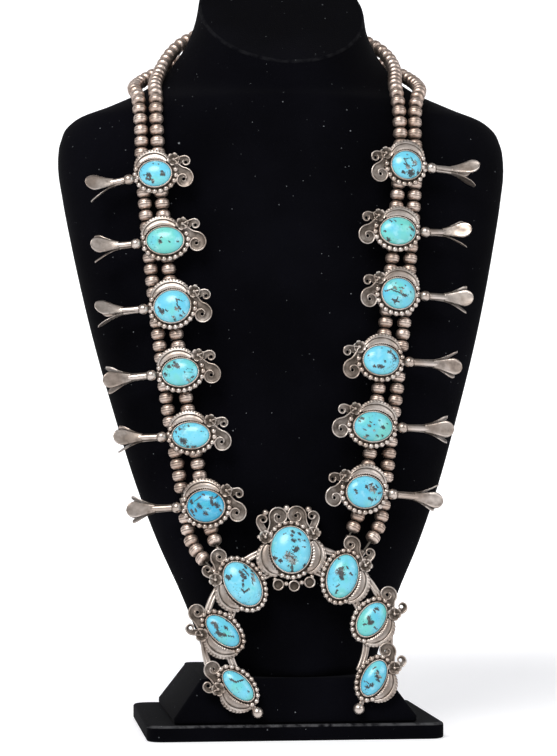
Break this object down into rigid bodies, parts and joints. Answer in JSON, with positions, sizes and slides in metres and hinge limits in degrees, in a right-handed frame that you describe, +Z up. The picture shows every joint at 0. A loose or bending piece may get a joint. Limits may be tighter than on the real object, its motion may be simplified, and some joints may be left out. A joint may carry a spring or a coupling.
{
  "type": "squash blossom necklace on a neck bust",
  "caption": "Squash blossom necklace of silver beads, turquoise blossoms and a crescent naja, draped over a black velvet neck bust on a stepped base.",
  "frame": {"origin": "centre of the base plate's underside", "axes": "+Z up through the neck; the necklace's front faces -Y; +X to the viewer's right"},
  "size_m": [0.236, 0.1388, 0.4031],
  "materials": {
    "silver": "aged silver, satin, dark in the recesses",
    "turquoise": "polished blue stone with brown and black veins",
    "thread": "grey stringing cord",
    "velvet_bust": "black velvet",
    "velvet_base": "black velvet over board"
  },
  "bodies": {
    "root": {"base_plate": "velvet_base", "base_block": "velvet_base", "neck_bust": "velvet_bust", "blossom_left_1": "silver", "blossom_left_2": "silver", "blossom_left_3": "silver", "blossom_left_4": "silver", "blossom_left_5": "silver", "blossom_left_6": "silver", "blossom_right_1": "silver", "blossom_right_2": "silver", "blossom_right_3": "silver", "blossom_right_4": "silver", "blossom_right_5": "silver", "blossom_right_6": "silver", "stone_left_1": "turquoise", "stone_left_2": "turquoise", "stone_left_3": "turquoise", "stone_left_4": "turquoise", "stone_left_5": "turquoise", "stone_left_6": "turquoise", "stone_right_1": "turquoise", "stone_right_2": "turquoise", "stone_right_3": "turquoise", "stone_right_4": "turquoise", "stone_right_5": "turquoise", "stone_right_6": "turquoise", "naja": "silver", "naja_stone_1": "turquoise", "naja_stone_2": "turquoise", "naja_stone_3": "turquoise", "naja_stone_4": "turquoise", "naja_stone_5": "turquoise", "naja_stone_6": "turquoise", "naja_stone_7": "turquoise", "strand_left_outer": "silver", "strand_left_inner": "silver", "strand_right_outer": "silver", "strand_right_inner": "silver", "thread_left_outer": "thread", "thread_left_inner": "thread", "thread_right_outer": "thread", "thread_right_inner": "thread", "clasp": "silver"}
  },
  "joints": []
}
